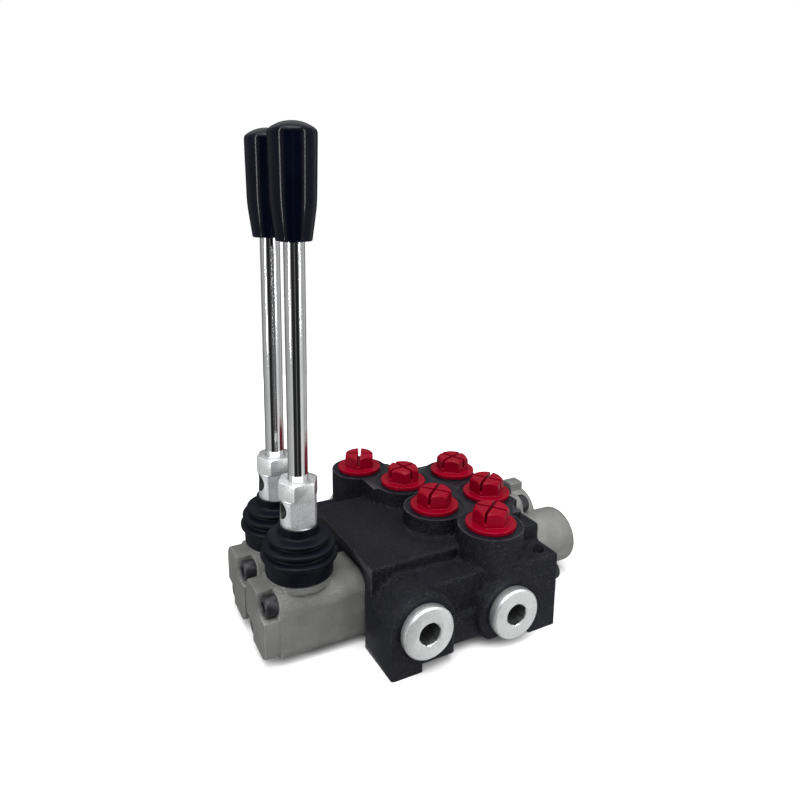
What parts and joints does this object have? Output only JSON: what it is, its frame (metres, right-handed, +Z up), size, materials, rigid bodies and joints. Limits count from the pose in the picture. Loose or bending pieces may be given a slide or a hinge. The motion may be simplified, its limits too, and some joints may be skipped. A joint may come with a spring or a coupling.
{
  "type": "hydraulic monoblock directional valve",
  "caption": "Lever-operated monoblock hydraulic directional valve: cast body, sliding spools, bellows-booted hand levers, plugged ports and spring-centring caps.",
  "frame": {"origin": "centre of the casting's footprint, on the plane of its mounting feet", "axes": "+X along the spools from the levers to the spring caps, +Y across the spools away from the steel side plugs, +Z up towards the ports and lever knobs"},
  "size_m": [0.1853, 0.1536, 0.2455],
  "materials": {
    "cast_black": "black satin paint over sand casting, machined faces",
    "plug_red": "moulded red plastic, semi gloss",
    "steel_zinc": "bright zinc plated steel, light soiling",
    "steel_inner": "ground hardened steel",
    "alloy_cast": "sand cast aluminium, dull grey",
    "alloy_cap": "light grey cast aluminium, machined end",
    "bolt_black": "black oxide",
    "rubber_black": "matte moulded rubber",
    "rod_chrome": "polished, plated",
    "knob_black": "glossy moulded plastic"
  },
  "bodies": {
    "casting": {"monoblock_body": "cast_black", "port_plug_p": "plug_red", "port_plug_t": "plug_red", "port_plug_a1": "plug_red", "port_plug_b1": "plug_red", "port_plug_a2": "plug_red", "port_plug_b2": "plug_red", "side_plug_tank": "steel_zinc", "side_plug_inlet": "steel_zinc", "side_plug_rear": "steel_zinc", "side_plug_washers": "steel_zinc", "check_valve_seat": "steel_inner", "check_valve_spring": "steel_inner", "relief_valve_body": "steel_zinc", "relief_spring": "steel_inner", "relief_spring_seat": "steel_inner", "relief_adjuster": "steel_zinc", "relief_locknut": "steel_zinc", "lever_housing_front": "alloy_cast", "lever_housing_rear": "alloy_cast", "snap_rings": "steel_inner", "fulcrum_pins": "steel_inner", "housing_bolts": "bolt_black", "boot_front": "rubber_black", "boot_rear": "rubber_black", "spool_seals": "rubber_black", "spring_cap_front": "alloy_cap", "spring_cap_rear": "alloy_cap", "cap_bolts": "bolt_black"},
    "check_poppet": {"check_valve_poppet": "steel_inner"},
    "relief_pilot": {"relief_poppet": "steel_inner"},
    "lever_front": {"lever_arm_front": "steel_zinc", "lever_rod_front": "rod_chrome", "lever_nut_front": "steel_zinc", "lever_knob_front": "knob_black"},
    "spool_set_front": {"spool_front": "steel_inner", "spring_screw_front": "steel_inner", "spring_seats_front": "steel_inner", "centring_spring_front": "steel_inner"},
    "lever_rear": {"lever_arm_rear": "steel_zinc", "lever_rod_rear": "rod_chrome", "lever_nut_rear": "steel_zinc", "lever_knob_rear": "knob_black"},
    "spool_set_rear": {"spool_rear": "steel_inner", "spring_screw_rear": "steel_inner", "spring_seats_rear": "steel_inner", "centring_spring_rear": "steel_inner"}
  },
  "joints": [
    {"name": "lever_front_tilt", "type": "hinge", "parent": "casting", "child": "lever_front", "pos_m": [-0.0727, -0.01675, 0.038], "axis": [0, 1, 0], "range_deg": [-17, 17], "stiffness_Nm_per_rad": 8, "deforming": ["boot_front"]},
    {"name": "spool_front_slide", "type": "slide", "parent": "casting", "child": "spool_set_front", "axis": [1, 0, 0], "range_m": [-0.006, 0.006]},
    {"name": "lever_rear_tilt", "type": "hinge", "parent": "casting", "child": "lever_rear", "pos_m": [-0.0727, 0.01675, 0.038], "axis": [0, 1, 0], "range_deg": [-17, 17], "stiffness_Nm_per_rad": 8, "deforming": ["boot_rear"]},
    {"name": "spool_rear_slide", "type": "slide", "parent": "casting", "child": "spool_set_rear", "axis": [1, 0, 0], "range_m": [-0.006, 0.006]},
    {"name": "check_poppet_lift", "type": "slide", "parent": "casting", "child": "check_poppet", "axis": [0, 1, 0], "range_m": [0, 0.0025], "stiffness_N_per_m": 400, "springref_m": -0.003, "deforming": ["check_valve_spring"]},
    {"name": "relief_poppet_lift", "type": "slide", "parent": "casting", "child": "relief_pilot", "axis": [0, 1, 0], "range_m": [0, 0.0015], "stiffness_N_per_m": 20000, "springref_m": -0.01, "deforming": ["relief_spring"]}
  ],
  "couplings": [
    {"joint": "spool_front_slide", "follows": "lever_front_tilt", "m_per_rad": -0.0195},
    {"joint": "spool_rear_slide", "follows": "lever_rear_tilt", "m_per_rad": -0.0195}
  ]
}
